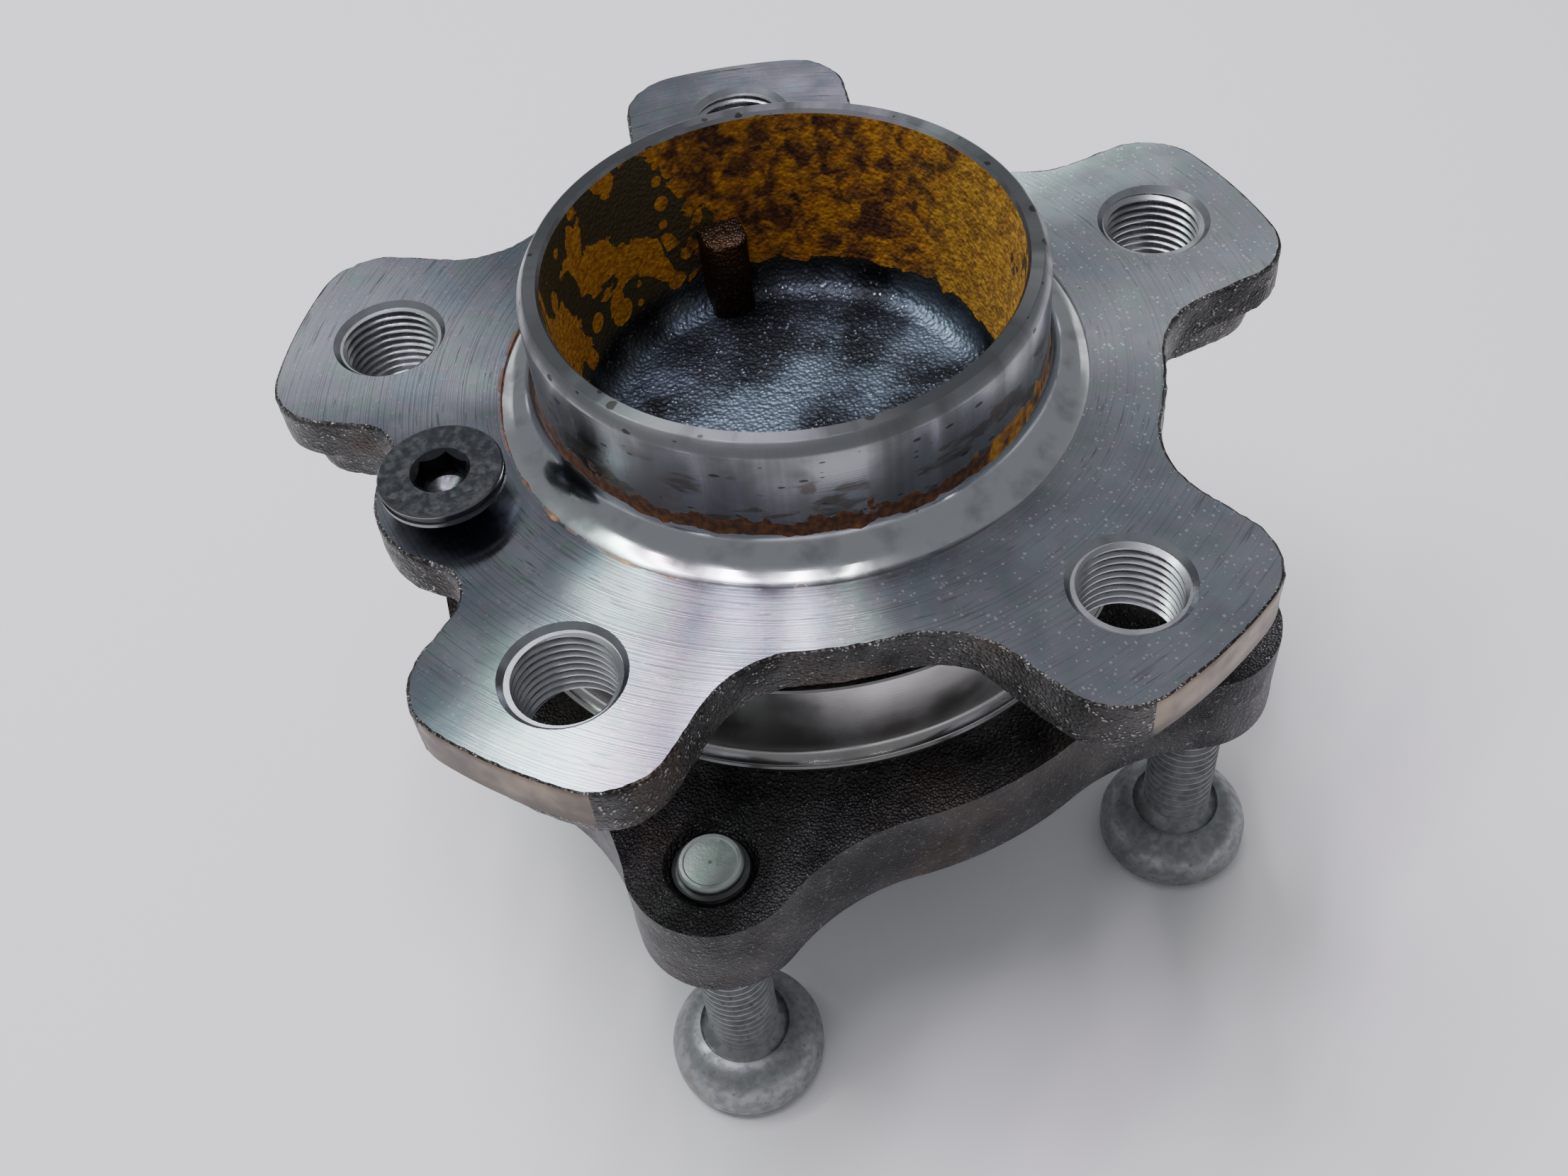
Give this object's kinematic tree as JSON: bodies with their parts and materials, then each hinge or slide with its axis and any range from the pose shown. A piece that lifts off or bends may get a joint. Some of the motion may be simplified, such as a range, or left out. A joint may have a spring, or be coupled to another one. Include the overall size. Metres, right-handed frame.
{
  "type": "wheel hub bearing",
  "caption": "Flanged wheel hub on a sealed double-row ball bearing; carries a wheel and brake disc and bolts to a steering knuckle.",
  "frame": {"origin": "on the hub axis, in the face that the wheel sits on", "axes": "+Z along the hub axis out to the wheel; the mounting bolts form a rectangle along X and Y"},
  "size_m": [0.1329, 0.1375, 0.1017],
  "materials": {
    "hub_steel": "turned faces, rough forging on the sides, light rust in the cup",
    "forged_ring": "black forging scale with turned steel faces",
    "black_oxide": "satin black oxide on steel",
    "zinc_bolt": "dull zinc flake",
    "bright_sheet": "polished stainless sheet",
    "ground_steel": "ground and honed",
    "ball_steel": "polished",
    "cage_plastic": "moulded black",
    "pressed_steel": "rolled sheet",
    "seal_rubber": "moulded black"
  },
  "bodies": {
    "knuckle_side": {"outer_ring": "forged_ring", "deflector_ring": "bright_sheet", "mounting_bolt_1": "zinc_bolt", "mounting_bolt_2": "zinc_bolt", "mounting_bolt_3": "zinc_bolt", "mounting_bolt_4": "zinc_bolt", "outboard_seal_case": "pressed_steel", "outboard_seal_lip": "seal_rubber", "inboard_seal_case": "pressed_steel", "inboard_seal_lip": "seal_rubber", "end_cap": "pressed_steel"},
    "wheel_side": {"wheel_hub": "hub_steel", "brake_disc_screw": "black_oxide", "inner_ring": "ground_steel", "outboard_slinger": "pressed_steel", "encoder_carrier": "pressed_steel", "encoder_ring": "seal_rubber"},
    "outboard_row": {"outboard_cage": "cage_plastic", "outboard_ball_01": "ball_steel", "outboard_ball_02": "ball_steel", "outboard_ball_03": "ball_steel", "outboard_ball_04": "ball_steel", "outboard_ball_05": "ball_steel", "outboard_ball_06": "ball_steel", "outboard_ball_07": "ball_steel", "outboard_ball_08": "ball_steel", "outboard_ball_09": "ball_steel", "outboard_ball_10": "ball_steel", "outboard_ball_11": "ball_steel", "outboard_ball_12": "ball_steel", "outboard_ball_13": "ball_steel", "outboard_ball_14": "ball_steel"},
    "inboard_row": {"inboard_cage": "cage_plastic", "inboard_ball_01": "ball_steel", "inboard_ball_02": "ball_steel", "inboard_ball_03": "ball_steel", "inboard_ball_04": "ball_steel", "inboard_ball_05": "ball_steel", "inboard_ball_06": "ball_steel", "inboard_ball_07": "ball_steel", "inboard_ball_08": "ball_steel", "inboard_ball_09": "ball_steel", "inboard_ball_10": "ball_steel", "inboard_ball_11": "ball_steel", "inboard_ball_12": "ball_steel", "inboard_ball_13": "ball_steel", "inboard_ball_14": "ball_steel"}
  },
  "joints": [
    {"name": "hub_spin", "type": "hinge", "parent": "knuckle_side", "child": "wheel_side", "pos_m": [0, 0, 0], "axis": [0, 0, 1], "continuous": true},
    {"name": "outboard_roll", "type": "hinge", "parent": "knuckle_side", "child": "outboard_row", "pos_m": [0, 0, 0], "axis": [0, 0, 1], "continuous": true},
    {"name": "inboard_roll", "type": "hinge", "parent": "knuckle_side", "child": "inboard_row", "pos_m": [0, 0, 0], "axis": [0, 0, 1], "continuous": true}
  ],
  "couplings": [
    {"joint": "outboard_roll", "follows": "hub_spin", "ratio": 0.4218},
    {"joint": "inboard_roll", "follows": "hub_spin", "ratio": 0.4218}
  ]
}
